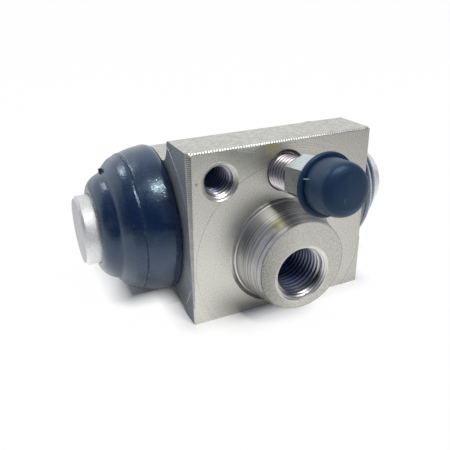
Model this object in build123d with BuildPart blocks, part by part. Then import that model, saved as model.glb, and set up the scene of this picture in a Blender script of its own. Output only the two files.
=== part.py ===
"""Wheel cylinder of a drum brake: an extruded housing with two opposed pistons.

Millimetres. The origin lies on the mounting face, on the axis of the round spigot. X runs along
the bore, +Y into the housing (the spigot and the bleed screw point to -Y), and +Z is up.
"""
import os
from math import cos, radians, sin

from build123d import *

# Housing section, cut from one extruded bar
housing_length = 37.0
plate_bottom = -11.65
plate_top = 21.55
plate_back_top = 9.5
plate_back_slope = 26.5
plate_heel = 4.0
plate_heel_slope = 20.0
plate_back_radius = 0.6
notch_radius = 2.8
heel_radius = 6.0
bore_y = 18.95
bore_z = 3.4
barrel_radius = 14.4
top_chamfer = 0.45
side_chamfer_top = 0.85
side_chamfer_bottom = 0.2
end_facing_radius = 19.5
end_facing_depth = 0.15

# Bore and the seats of the dust boots
bore_dia = 20.64
running_clearance = 0.04
bore_lead_in = 0.6
boot_foot_gap = 0.67
boot_foot_thickness = 1.3
boot_seat_depth = 3.4
boot_groove_cut = 0.6
boot_groove_width = 1.3
boot_groove_inset = 0.9
seat_clearance = 0.05

# Spigot with the brake pipe port, thread M10 x 1
spigot_height = 7.4
spigot_face_radius = 8.62
spigot_base_radius = 10.03
spigot_groove_radius = 10.9
spigot_groove_depth = 0.55
port_drop = 1.55
port_radius = 5.0
port_mouth_radius = 5.5
port_depth = 10.6
port_tip_angle = 59.0
port_passage_radius = 1.5

# Fixing hole, thread M6 x 1
fixing_x = -12.55
fixing_z = 15.76
fixing_radius = 3.0
fixing_mouth_radius = 3.5
fixing_depth = 9.0
fixing_tip_angle = 59.0

# Bleed screw, thread M7 x 1, leaning upwards as it comes out
bleed_x = 0.4
bleed_z = 15.55
bleed_lean = 8.5
bleed_sideways = 2.1
bleed_thread_radius = 3.5
bleed_hole_clearance = 0.03
bleed_hole_depth = 8.2
bleed_mouth_rise = 0.35
bleed_mouth_radius = 3.9
bleed_mouth_depth = 0.6
bleed_seat_angle = 45.0
bleed_passage_radius = 1.25
bleed_thread_out = 6.15
hex_across_flats = 7.0
hex_length = 6.4
hex_turn = 23.7
hex_corner_bevel = 0.45
nipple_root_fillet = 0.4
nipple_neck_radius = 2.2
nipple_neck_length = 2.2
nipple_flare = 0.8
nipple_bulb_radius = 2.85
nipple_bulb_length = 0.6
nipple_nose_length = 2.0
nipple_nose_radius = 1.9
screw_relief = 0.7
screw_relief_length = 1.05
screw_seat_gap = 0.1
screw_drilling_radius = 0.9
screw_drilling_bottom = 1.6

# Rubber cap of the bleed screw
cap_flange_radius = 5.43
cap_flange_thickness = 1.0
cap_neck_radius = 4.15
cap_neck_width = 0.35
cap_body_radius = 4.53
cap_shoulder_radius = 4.3
cap_end_radius = 3.55
cap_end_rounding = 0.8
cap_edge_rounding = 0.3
cap_end_clearance = 0.25
cap_roof = 0.8
cap_inside_bevel = 0.6

# Pistons
piston_reach = 34.5
piston_head_inner = 8.5
right_set_in = 1.0
piston_head_length = 10.0
piston_head_chamfer = 0.4
piston_stem_radius = 6.85
piston_end_chamfer = 0.5
piston_centre_radius = 0.45
boot_lip_from_end = 3.3
boot_lip_width = 1.6
boot_lip_depth = 0.95

# Pressure cups, expanders and the spring between them
cup_base = 2.0
cup_height = 4.9
cup_lip_thickness = 0.9
cup_heel_relief = 0.2
expander_sheet = 0.6
expander_base_radius = 6.2
expander_flare_height = 1.9
expander_flare_radius = 8.2
spring_wire_radius = 0.55
spring_mean_radius = 4.9
spring_pitch = 2.3
spring_end_gap = 0.1

# Dust boots
boot_rim_radius = 14.3
boot_bulge_radius = 14.85
boot_parting_radius = 13.8
boot_parting_from_end = 9.65
boot_crown_rise = 0.45
boot_waist_radius = 11.0
boot_waist_from_end = 6.05
boot_waist_fillet = 0.7
boot_roll_radius = 10.0
boot_roll_from_end = 4.5
boot_mouth_from_end = 3.0
boot_mouth_lip = 1.1
boot_mouth_curl = 0.4
boot_wall = 1.3

half_length = housing_length / 2
reach = {-1: piston_reach, 1: piston_reach - right_set_in}
head_inner = {-1: piston_head_inner, 1: piston_head_inner - right_set_in}
end_plane = half_length - end_facing_depth
bore_radius = bore_dia / 2
head_radius = bore_radius - running_clearance
boot_foot_inner = head_radius + boot_foot_gap
boot_foot_outer = boot_foot_inner + boot_foot_thickness
boot_seat_radius = boot_foot_outer + seat_clearance
boot_groove_radius = boot_seat_radius + boot_groove_cut
port_z = -port_drop
bore_axis = Axis((0, bore_y, bore_z), (1, 0, 0))
bore_plane = Plane(origin=(0, bore_y, bore_z), x_dir=(1, 0, 0), z_dir=(0, -1, 0))
port_plane = Plane.XY.offset(port_z)
port_axis = Axis((0, 0, port_z), (0, 1, 0))
fixing_plane = Plane(origin=(fixing_x, 0, fixing_z))
fixing_axis = Axis((fixing_x, 0, fixing_z), (0, 1, 0))
mouth_plane = Plane(origin=(bleed_x, 0, bleed_z + bleed_mouth_rise))
mouth_axis = Axis((bleed_x, 0, bleed_z + bleed_mouth_rise), (0, 1, 0))
bleed_across = Vector(cos(radians(bleed_sideways)), -sin(radians(bleed_sideways)), 0)
bleed_level = Vector(-sin(radians(bleed_sideways)), -cos(radians(bleed_sideways)), 0)
bleed_out = bleed_level * cos(radians(bleed_lean)) + Vector(0, 0, sin(radians(bleed_lean)))
bleed_foot = Vector(bleed_x, 0, bleed_z)
bleed_plane = Plane(origin=bleed_foot, x_dir=bleed_across, z_dir=bleed_across.cross(bleed_out))
bleed_axis = Axis(bleed_foot, bleed_out)


def drilled_tip(radius, angle):
    """Depth of the cone that a drill of this radius leaves below its straight wall."""
    return radius * cos(radians(angle)) / sin(radians(angle))


def on_barrel(vertex):
    """True for a corner of the section where a straight side runs into the round barrel."""
    offset = Vector(vertex) - Vector(bore_y, bore_z)
    return abs(offset.length - barrel_radius) < 1e-3


def housing_piece():
    """Extruded, bored and drilled housing."""
    back_run = plate_top - bore_z
    heel_run = bore_y - plate_heel
    back_y = plate_back_top + back_run * sin(radians(plate_back_slope)) / cos(radians(plate_back_slope))
    heel_z = plate_bottom + heel_run * sin(radians(plate_heel_slope)) / cos(radians(plate_heel_slope))
    with BuildPart() as housing:
        with BuildSketch(Plane.YZ) as section:
            with BuildLine():
                Polyline(
                    (0, plate_bottom),
                    (0, plate_top),
                    (plate_back_top, plate_top),
                    (back_y, bore_z),
                    (bore_y, heel_z),
                    (plate_heel, plate_bottom),
                    close=True,
                )
            make_face()
            with Locations((bore_y, bore_z)):
                Circle(barrel_radius)
            meeting = section.vertices().filter_by(on_barrel).sort_by(Axis.Y)
            fillet(meeting[-1], notch_radius)
            meeting = section.vertices().filter_by(on_barrel).sort_by(Axis.Y)
            fillet(meeting[0], heel_radius)
            corner = section.vertices().group_by(Axis.Y)[-1].sort_by(Axis.X)[-1]
            fillet(corner, plate_back_radius)
        extrude(amount=half_length, both=True)

        # Bevel down the left front corner, wide at the top and running out at the bottom
        for level, width in ((plate_bottom, side_chamfer_bottom), (plate_top, side_chamfer_top)):
            with BuildSketch(Plane.XY.offset(level)):
                with BuildLine():
                    Polyline(
                        (-half_length, 0),
                        (-half_length + width, 0),
                        (-half_length, width),
                        close=True,
                    )
                make_face()
        loft(mode=Mode.SUBTRACT)
        front = housing.faces().sort_by(Axis.Y)[0]
        chamfer(front.edges().filter_by(Axis.X).sort_by(Axis.Z)[-1], top_chamfer)

        # Facing cut round the bore on both ends
        for side in (-1, 1):
            outer = Plane(origin=(side * half_length, bore_y, bore_z), z_dir=(-side, 0, 0))
            with BuildSketch(outer):
                Circle(end_facing_radius)
            extrude(amount=end_facing_depth, mode=Mode.SUBTRACT)

        # Conical spigot, standing in a shallow turned groove
        with BuildSketch(Plane.XY):
            Rectangle(spigot_groove_radius, spigot_groove_depth, align=(Align.MIN, Align.MIN))
        revolve(axis=Axis.Y, mode=Mode.SUBTRACT)
        with BuildSketch(Plane.XY):
            with BuildLine():
                Polyline(
                    (0, -spigot_height),
                    (spigot_face_radius, -spigot_height),
                    (spigot_base_radius, 0),
                    (spigot_base_radius, spigot_groove_depth),
                    (0, spigot_groove_depth),
                    close=True,
                )
            make_face()
        revolve(axis=Axis.Y)

        # Bore with a seat and a locking groove for each boot
        with BuildSketch(bore_plane):
            with BuildLine():
                seat_end = end_plane - boot_seat_depth
                groove_out = end_plane - boot_groove_inset
                groove_in = groove_out - boot_groove_width
                right = [
                    (seat_end - bore_lead_in, bore_radius),
                    (seat_end, bore_radius + bore_lead_in),
                    (seat_end, boot_seat_radius),
                    (groove_in, boot_seat_radius),
                    (groove_in, boot_groove_radius),
                    (groove_out, boot_groove_radius),
                    (groove_out, boot_seat_radius),
                    (half_length, boot_seat_radius),
                    (half_length, 0),
                ]
                left = [(-x, r) for x, r in reversed(right)]
                Polyline(*left, *right, close=True)
            make_face()
        revolve(axis=bore_axis, mode=Mode.SUBTRACT)

        # Brake pipe port with its passage into the bore
        port_wall_end = port_depth - spigot_height
        port_tip = port_wall_end + drilled_tip(port_radius, port_tip_angle)
        with BuildSketch(port_plane):
            with BuildLine():
                Polyline(
                    (0, -spigot_height),
                    (port_mouth_radius, -spigot_height),
                    (port_radius, -spigot_height + port_mouth_radius - port_radius),
                    (port_radius, port_wall_end),
                    (0, port_tip),
                    close=True,
                )
            make_face()
        revolve(axis=port_axis, mode=Mode.SUBTRACT)
        with BuildSketch(port_plane):
            Rectangle(port_passage_radius, bore_y, align=(Align.MIN, Align.MIN))
        revolve(axis=port_axis, mode=Mode.SUBTRACT)

        # Blind fixing hole
        with BuildSketch(fixing_plane):
            with BuildLine():
                Polyline(
                    (0, 0),
                    (fixing_mouth_radius, 0),
                    (fixing_radius, fixing_mouth_radius - fixing_radius),
                    (fixing_radius, fixing_depth),
                    (0, fixing_depth + drilled_tip(fixing_radius, fixing_tip_angle)),
                    close=True,
                )
            make_face()
        revolve(axis=fixing_axis, mode=Mode.SUBTRACT)

        # Countersink, square to the face, where the leaning bleed hole comes out
        with BuildSketch(mouth_plane):
            with BuildLine():
                Polyline(
                    (0, 0),
                    (bleed_mouth_radius, 0),
                    (bleed_mouth_radius - bleed_mouth_depth, bleed_mouth_depth),
                    (0, bleed_mouth_depth),
                    close=True,
                )
            make_face()
        revolve(axis=mouth_axis, mode=Mode.SUBTRACT)

        # Leaning bleed hole: threaded wall, seat for the cone and a passage into the bore
        hole_radius = bleed_thread_radius + bleed_hole_clearance
        mouth_out = bleed_mouth_radius * sin(radians(bleed_lean))
        seat_end = -bleed_hole_depth - drilled_tip(hole_radius - bleed_passage_radius, bleed_seat_angle)
        passage_end = -bore_y / cos(radians(bleed_lean))
        with BuildSketch(bleed_plane):
            with BuildLine():
                Polyline(
                    (0, mouth_out),
                    (hole_radius, mouth_out),
                    (hole_radius, -bleed_hole_depth),
                    (bleed_passage_radius, seat_end),
                    (bleed_passage_radius, passage_end),
                    (0, passage_end),
                    close=True,
                )
            make_face()
        revolve(axis=bleed_axis, mode=Mode.SUBTRACT)
    return housing


def piston_piece(side):
    """Piston with its head in the bore and a stem that carries the boot's lip in a groove."""
    head_start = head_inner[side]
    head_outer = head_start + piston_head_length
    lip_outer = reach[side] - boot_lip_from_end
    lip_inner = lip_outer - boot_lip_width
    lip_radius = piston_stem_radius - boot_lip_depth
    with BuildPart() as piston:
        with BuildSketch(bore_plane):
            with BuildLine():
                Polyline(
                    (side * head_start, 0),
                    (side * head_start, head_radius - piston_head_chamfer),
                    (side * (head_start + piston_head_chamfer), head_radius),
                    (side * (head_outer - piston_head_chamfer), head_radius),
                    (side * head_outer, head_radius - piston_head_chamfer),
                    (side * head_outer, piston_stem_radius),
                    (side * lip_inner, piston_stem_radius),
                    (side * lip_inner, lip_radius),
                    (side * lip_outer, lip_radius),
                    (side * lip_outer, piston_stem_radius),
                    (side * (reach[side] - piston_end_chamfer), piston_stem_radius),
                    (side * reach[side], piston_stem_radius - piston_end_chamfer),
                    (side * reach[side], piston_centre_radius),
                    (side * (reach[side] - piston_centre_radius), 0),
                    close=True,
                )
            make_face()
        revolve(axis=bore_axis)
    return piston


def cup_piece(side):
    """Rubber cup: a base against the piston and a lip that opens towards the fluid."""
    heel = head_inner[side]
    lip = heel - cup_height
    with BuildPart() as cup:
        with BuildSketch(bore_plane):
            with BuildLine():
                Polyline(
                    (side * heel, 0),
                    (side * heel, head_radius - cup_heel_relief),
                    (side * lip, head_radius),
                    (side * lip, head_radius - cup_lip_thickness),
                    (side * (heel - cup_base), head_radius - 2 * cup_lip_thickness),
                    (side * (heel - cup_base), 0),
                    close=True,
                )
            make_face()
        revolve(axis=bore_axis)
    return cup


def expander_piece(side):
    """Pressed steel dish that sits in the cup and takes the end of the spring."""
    floor = head_inner[side] - cup_base
    rim = floor - expander_sheet - expander_flare_height
    with BuildPart() as expander:
        with BuildSketch(bore_plane):
            with BuildLine():
                Polyline(
                    (side * floor, 0),
                    (side * floor, expander_base_radius),
                    (side * rim, expander_flare_radius),
                    (side * rim, expander_flare_radius - expander_sheet),
                    (side * (floor - expander_sheet), expander_base_radius - expander_sheet),
                    (side * (floor - expander_sheet), 0),
                    close=True,
                )
            make_face()
        revolve(axis=bore_axis)
    return expander


def spring_piece():
    """Coil spring between the two expanders, with its end turns ground flat."""
    seat = cup_base + expander_sheet + spring_end_gap
    left_end = seat - head_inner[-1]
    right_end = head_inner[1] - seat
    run = right_end - left_end + spring_wire_radius
    start = (left_end - spring_wire_radius / 2, bore_y, bore_z)
    with BuildPart() as spring:
        with BuildLine():
            coil = Helix(spring_pitch, run, spring_mean_radius, center=start, direction=(1, 0, 0))
        with BuildSketch(Plane(origin=coil @ 0, z_dir=coil % 0)):
            Circle(spring_wire_radius)
        sweep(path=coil, is_frenet=True)
        split(bisect_by=Plane.YZ.offset(left_end), keep=Keep.TOP)
        split(bisect_by=Plane.YZ.offset(right_end), keep=Keep.BOTTOM)
    return spring


def boot_piece(side):
    """Dust boot: a foot locked in the housing, a bulged wall, and a rolled lip on the stem."""
    bead = boot_groove_radius - seat_clearance
    groove_out = end_plane - boot_groove_inset
    groove_in = groove_out - boot_groove_width
    parting = reach[side] - boot_parting_from_end
    waist = reach[side] - boot_waist_from_end
    roll = reach[side] - boot_roll_from_end
    mouth = reach[side] - boot_mouth_from_end
    foot_end = end_plane - boot_seat_depth + seat_clearance
    crown = (boot_parting_radius + boot_waist_radius) / 2 + boot_crown_rise
    lip_outer = reach[side] - boot_lip_from_end - seat_clearance
    lip_inner = lip_outer - boot_lip_width + 2 * seat_clearance
    lip_radius = piston_stem_radius - boot_lip_depth + seat_clearance
    stem_radius = piston_stem_radius + seat_clearance
    with BuildPart() as boot:
        with BuildSketch(bore_plane) as outline:
            with BuildLine():
                Polyline(
                    (side * lip_inner, stem_radius),
                    (side * lip_inner, lip_radius),
                    (side * lip_outer, lip_radius),
                    (side * lip_outer, stem_radius),
                    (side * (mouth - boot_mouth_curl), stem_radius),
                    (side * mouth, stem_radius + boot_mouth_lip),
                )
                Spline(
                    (side * mouth, stem_radius + boot_mouth_lip),
                    (side * roll, boot_roll_radius),
                    (side * waist, boot_waist_radius),
                    tangents=((0, 1), (-side, 0.2)),
                )
                ThreePointArc(
                    (side * waist, boot_waist_radius),
                    (side * (parting + waist) / 2, crown),
                    (side * parting, boot_parting_radius),
                )
                Spline(
                    (side * parting, boot_parting_radius),
                    (side * (end_plane + boot_wall), boot_bulge_radius),
                    (side * end_plane, boot_rim_radius),
                    tangents=((-side, 0.35), (-0.3 * side, -1)),
                )
                Polyline(
                    (side * end_plane, boot_rim_radius),
                    (side * end_plane, boot_foot_outer),
                    (side * groove_out, boot_foot_outer),
                    (side * groove_out, bead),
                    (side * groove_in, bead),
                    (side * groove_in, boot_foot_outer),
                    (side * foot_end, boot_foot_outer),
                    (side * foot_end, boot_foot_inner),
                    (side * end_plane, boot_foot_inner),
                    (side * (end_plane + boot_wall), boot_bulge_radius - boot_wall),
                )
                Spline(
                    (side * (end_plane + boot_wall), boot_bulge_radius - boot_wall),
                    (side * parting, boot_parting_radius - boot_wall),
                    (side * (waist - boot_wall / 2), boot_waist_radius - boot_wall),
                    (side * lip_inner, stem_radius),
                )
            make_face()
            waist_corner = outline.vertices().sort_by_distance((side * waist, boot_waist_radius))[0]
            fillet(waist_corner, boot_waist_fillet)
        revolve(axis=bore_axis)
    return boot


def bleed_screw_piece():
    """Bleed screw: cone, thread, hexagon and hose nipple, drilled from its outer end."""
    hole_radius = bleed_thread_radius + bleed_hole_clearance
    tip_radius = bleed_passage_radius - screw_drilling_radius / 2
    relief_radius = bleed_thread_radius - screw_relief
    relief_start = screw_seat_gap - bleed_hole_depth
    relief_end = relief_start + screw_relief_length
    seat_end = -bleed_hole_depth - drilled_tip(hole_radius - bleed_passage_radius, bleed_seat_angle)
    hex_end = bleed_thread_out + hex_length
    bulb_start = hex_end + nipple_neck_length + nipple_flare
    bulb_end = bulb_start + nipple_bulb_length
    nipple_end = bulb_end + nipple_nose_length
    drilling_end = screw_drilling_bottom - bleed_hole_depth
    corner_radius = hex_across_flats / 2 / cos(radians(30))
    hex_foot = bleed_foot + bleed_out * bleed_thread_out
    hex_plane = Plane(origin=hex_foot, x_dir=bleed_across, z_dir=bleed_out)
    with BuildPart() as screw:
        with BuildSketch(hex_plane):
            RegularPolygon(hex_across_flats / 2, 6, major_radius=False, rotation=hex_turn)
        extrude(amount=hex_length)
        with BuildSketch(bleed_plane):
            with BuildLine():
                Polyline(
                    (0, bleed_thread_out),
                    (corner_radius - hex_corner_bevel, bleed_thread_out),
                    (corner_radius, bleed_thread_out + hex_corner_bevel / 2),
                    (corner_radius, hex_end - hex_corner_bevel / 2),
                    (corner_radius - hex_corner_bevel, hex_end),
                    (0, hex_end),
                    close=True,
                )
            make_face()
        revolve(axis=bleed_axis, mode=Mode.INTERSECT)
        with BuildSketch(bleed_plane):
            with BuildLine():
                Polyline(
                    (0, seat_end + screw_seat_gap),
                    (tip_radius, seat_end + screw_seat_gap),
                    (relief_radius, relief_start),
                    (relief_radius, relief_end),
                    (bleed_thread_radius, relief_end + screw_relief),
                    (bleed_thread_radius, bleed_thread_out),
                    (0, bleed_thread_out),
                    close=True,
                )
            make_face()
        revolve(axis=bleed_axis)
        with BuildSketch(bleed_plane):
            with BuildLine():
                Polyline(
                    (0, hex_end),
                    (nipple_neck_radius + nipple_root_fillet, hex_end),
                    (nipple_neck_radius, hex_end + nipple_root_fillet),
                    (nipple_neck_radius, hex_end + nipple_neck_length),
                    (nipple_bulb_radius, bulb_start),
                    (nipple_bulb_radius, bulb_end),
                    (nipple_nose_radius, nipple_end),
                    (0, nipple_end),
                    close=True,
                )
            make_face()
        revolve(axis=bleed_axis)
        with BuildSketch(bleed_plane):
            with Locations((0, drilling_end)):
                Rectangle(screw_drilling_radius, nipple_end - drilling_end, align=(Align.MIN, Align.MIN))
        revolve(axis=bleed_axis, mode=Mode.SUBTRACT)
    return screw


def bleed_cap_piece():
    """Rubber cap over the nipple, with a flange round its mouth."""
    mouth = bleed_thread_out + hex_length + seat_clearance
    nipple_end = mouth + nipple_neck_length + nipple_flare + nipple_bulb_length + nipple_nose_length
    end = nipple_end + cap_end_clearance + cap_roof
    neck = mouth + cap_flange_thickness
    inside = nipple_bulb_radius + seat_clearance
    with BuildPart() as cap:
        with BuildSketch(bleed_plane):
            with BuildLine():
                Polyline(
                    (inside, end - cap_roof - cap_inside_bevel),
                    (inside, mouth),
                    (cap_flange_radius - cap_edge_rounding, mouth),
                    (cap_flange_radius, mouth + cap_edge_rounding),
                    (cap_flange_radius, neck - cap_edge_rounding),
                    (cap_flange_radius - cap_edge_rounding, neck),
                    (cap_neck_radius, neck),
                    (cap_neck_radius, neck + cap_neck_width),
                    (cap_body_radius, neck + cap_neck_width),
                    (cap_shoulder_radius, end - cap_end_rounding),
                )
                RadiusArc((cap_shoulder_radius, end - cap_end_rounding), (cap_end_radius, end), 0.9)
                Polyline(
                    (cap_end_radius, end),
                    (0, end),
                    (0, end - cap_roof),
                    (inside - cap_inside_bevel, end - cap_roof),
                    (inside, end - cap_roof - cap_inside_bevel),
                )
            make_face()
        revolve(axis=bleed_axis)
    return cap


pieces = {
    "housing": housing_piece(),
    "return_spring": spring_piece(),
    "bleed_screw": bleed_screw_piece(),
    "bleed_cap": bleed_cap_piece(),
}
for name, side in (("left", -1), ("right", 1)):
    pieces[f"piston_{name}"] = piston_piece(side)
    pieces[f"cup_seal_{name}"] = cup_piece(side)
    pieces[f"cup_expander_{name}"] = expander_piece(side)
    pieces[f"dust_boot_{name}"] = boot_piece(side)

os.makedirs("parts", exist_ok=True)
for name, piece in pieces.items():
    piece.part.label = name
    export_step(piece.part, f"parts/{name}.step")
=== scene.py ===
"""Wheel cylinder of a drum brake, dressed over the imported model: rubber boots and cap, cut threads,
turned and milled light alloy, and the pale table that it stands on. Sizes are in millimetres here
and become metres where a mesh is written."""

import random
from math import cos, degrees, pi, radians, sin

import bmesh
import bpy
from mathutils import Matrix, Vector, noise


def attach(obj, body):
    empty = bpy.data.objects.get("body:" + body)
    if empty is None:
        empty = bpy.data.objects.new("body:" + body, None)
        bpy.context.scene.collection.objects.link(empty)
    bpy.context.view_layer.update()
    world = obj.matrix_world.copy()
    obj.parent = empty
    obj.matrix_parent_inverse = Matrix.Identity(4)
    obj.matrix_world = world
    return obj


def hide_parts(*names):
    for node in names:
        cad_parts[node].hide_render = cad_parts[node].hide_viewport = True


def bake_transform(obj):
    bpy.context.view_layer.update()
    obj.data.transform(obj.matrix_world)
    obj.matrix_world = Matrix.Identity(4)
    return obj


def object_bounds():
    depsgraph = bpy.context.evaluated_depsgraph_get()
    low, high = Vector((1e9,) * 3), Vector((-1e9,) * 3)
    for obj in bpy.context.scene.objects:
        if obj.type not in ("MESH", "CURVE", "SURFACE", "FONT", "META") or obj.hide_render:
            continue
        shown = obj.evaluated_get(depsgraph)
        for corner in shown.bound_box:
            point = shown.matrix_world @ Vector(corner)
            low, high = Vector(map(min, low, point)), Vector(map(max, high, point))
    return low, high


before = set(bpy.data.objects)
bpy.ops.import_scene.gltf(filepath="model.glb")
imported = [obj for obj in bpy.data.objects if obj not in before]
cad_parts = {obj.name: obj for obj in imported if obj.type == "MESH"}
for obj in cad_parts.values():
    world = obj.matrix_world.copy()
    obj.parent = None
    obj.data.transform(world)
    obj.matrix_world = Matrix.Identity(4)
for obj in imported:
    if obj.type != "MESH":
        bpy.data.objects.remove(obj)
cad_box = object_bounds()
MM = 0.001

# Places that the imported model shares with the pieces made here
BORE_Y, BORE_Z = 18.95, 3.4
END_FACE = 18.35
HALF_LENGTH = 18.5
PLATE_BOTTOM, PLATE_TOP = -11.65, 21.55
FLOOR_Z = cad_box[0][2] / MM
PORT_Z, PORT_RADIUS = -1.55, 5.0
FIXING_X, FIXING_Z, FIXING_RADIUS = -12.55, 15.76, 3.0
BLEED_X, BLEED_Z = 0.4, 15.55
BLEED_LEAN, BLEED_SIDEWAYS = radians(8.5), radians(2.1)
SPIGOT_HEIGHT = 7.4
SPIGOT_BASE, SPIGOT_FACE = 10.03, 8.62
HEX_START, HEX_END = 5.85, 12.55
CAP_MOUTH, CAP_LENGTH = HEX_END + 0.05, 6.65

# Marks of the tools, stains and a pit, where the photograph shows them
FACING_CENTRE, FACING_CIRCLE = (0.33, 0, -0.47), 18.04
RECESS_RADIUS = 11.6
PIT = (-16.96, 0, 16.1)
PLATE_STAIN = (-2.6, 0, 20.3)
SPIGOT_STAIN = (-3.9, -5.0, 8.3)
TOP_BEVEL, BEAD_DROP, BEAD_BACK = 0.45, 0.28, 0.26
BEAD_START, BEAD_END, BEAD_PITCH, BEAD_HEIGHT = -17.62, 18.47, 0.496, 0.08
TICK_PITCH = 0.34
DIAGONAL = 0.7071
BURR_RADIUS = 19.47
PARTING = 24.8


class Axis:
    """A turning axis: u runs along it, and angle 0 points along side."""

    def __init__(self, origin, along, side=(0, 0, 1)):
        self.origin = Vector(origin)
        self.along = Vector(along).normalized()
        self.side = Vector(side).normalized()
        self.up = self.along.cross(self.side)

    def at(self, u, r, angle=0.0):
        turn = self.side * cos(angle) + self.up * sin(angle)
        return (self.origin + self.along * u + turn * r) * MM


LEFT_BORE = Axis((0, BORE_Y, BORE_Z), (-1, 0, 0))
RIGHT_BORE = Axis((0, BORE_Y, BORE_Z), (1, 0, 0))
PORT = Axis((0, 0, PORT_Z), (0, 1, 0))
SPIGOT = Axis((0, 0, 0), (0, -1, 0))
FIXING = Axis((FIXING_X, 0, FIXING_Z), (0, 1, 0))
BLEED = Axis(
    (BLEED_X, 0, BLEED_Z),
    (-sin(BLEED_SIDEWAYS) * cos(BLEED_LEAN), -cos(BLEED_SIDEWAYS) * cos(BLEED_LEAN), sin(BLEED_LEAN)),
    (cos(BLEED_SIDEWAYS), -sin(BLEED_SIDEWAYS), 0),
)


# Mesh tools

def finished(name, made, material, sharp=35):
    """Turns a bmesh into a smooth-shaded object with one material and a material slot."""
    bmesh.ops.recalc_face_normals(made, faces=made.faces)
    mesh = bpy.data.meshes.new(name)
    made.to_mesh(mesh)
    made.free()
    mesh.shade_smooth()
    mesh.set_sharp_from_angle(angle=radians(sharp))
    mesh.materials.append(material)
    piece = bpy.data.objects.new(name, mesh)
    bpy.context.scene.collection.objects.link(piece)
    return piece


def skin(made, rings):
    """Joins rings of points into a tube with both ends shut, and gives back its side faces."""
    rings = [[made.verts.new(point) for point in ring] for ring in rings]
    sides = []
    for lower, upper in zip(rings, rings[1:]):
        for j in range(len(lower)):
            n = (j + 1) % len(lower)
            sides.append(made.faces.new((lower[j], lower[n], upper[n], upper[j])))
    made.faces.new(rings[0])
    made.faces.new(rings[-1])
    return sides


def tube(name, rings, material, sharp=35):
    made = bmesh.new()
    skin(made, rings)
    return finished(name, made, material, sharp)


def revolve(made, axis, outline, steps=128, closed=False, wobble=None):
    """Revolves an outline of (u, r) points; wobble(u, r, angle) may move a point along and out."""
    rings = []
    for u, r in outline:
        if r < 1e-6:
            rings.append([made.verts.new(axis.at(u, 0))] * steps)
            continue
        ring = []
        for k in range(steps):
            angle = 2 * pi * k / steps
            along, out = wobble(u, r, angle) if wobble else (0.0, 0.0)
            ring.append(made.verts.new(axis.at(u + along, r + out, angle)))
        rings.append(ring)
    pairs = list(zip(rings, rings[1:]))
    if closed:
        pairs.append((rings[-1], rings[0]))
    for lower, upper in pairs:
        for k in range(steps):
            n = (k + 1) % steps
            corners = list(dict.fromkeys((lower[k], lower[n], upper[n], upper[k])))
            if len(corners) > 2:
                made.faces.new(corners)


def turned(name, axis, outline, material, steps=128, closed=False, sharp=35, wobble=None):
    made = bmesh.new()
    revolve(made, axis, outline, steps, closed, wobble)
    return finished(name, made, material, sharp)


THREAD_PITCH, THREAD_STEPS = 1.0, 96


def thread_ridge(name, axis, start, end, section, limit, material):
    """A closed helical ridge: section is (share of the pitch, radius) points from root to root."""
    root = section[0][1]
    count = int((end - start) / THREAD_PITCH * THREAD_STEPS)
    fade_steps = 0.4 * THREAD_STEPS
    rings = []
    for k in range(count + 1):
        angle = 2 * pi * k / THREAD_STEPS
        middle = start + THREAD_PITCH * k / THREAD_STEPS
        fade = max(0.03, min(1.0, k / fade_steps, (count - k) / fade_steps))
        ring = []
        for share, r in section:
            u = middle + share * THREAD_PITCH
            ring.append(axis.at(u, limit(u, root + (r - root) * fade), angle))
        rings.append(ring)
    return tube(name, rings, material, 28)


# Finishes: a bench to lay nodes out on, and the effects that several finishes share

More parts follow.
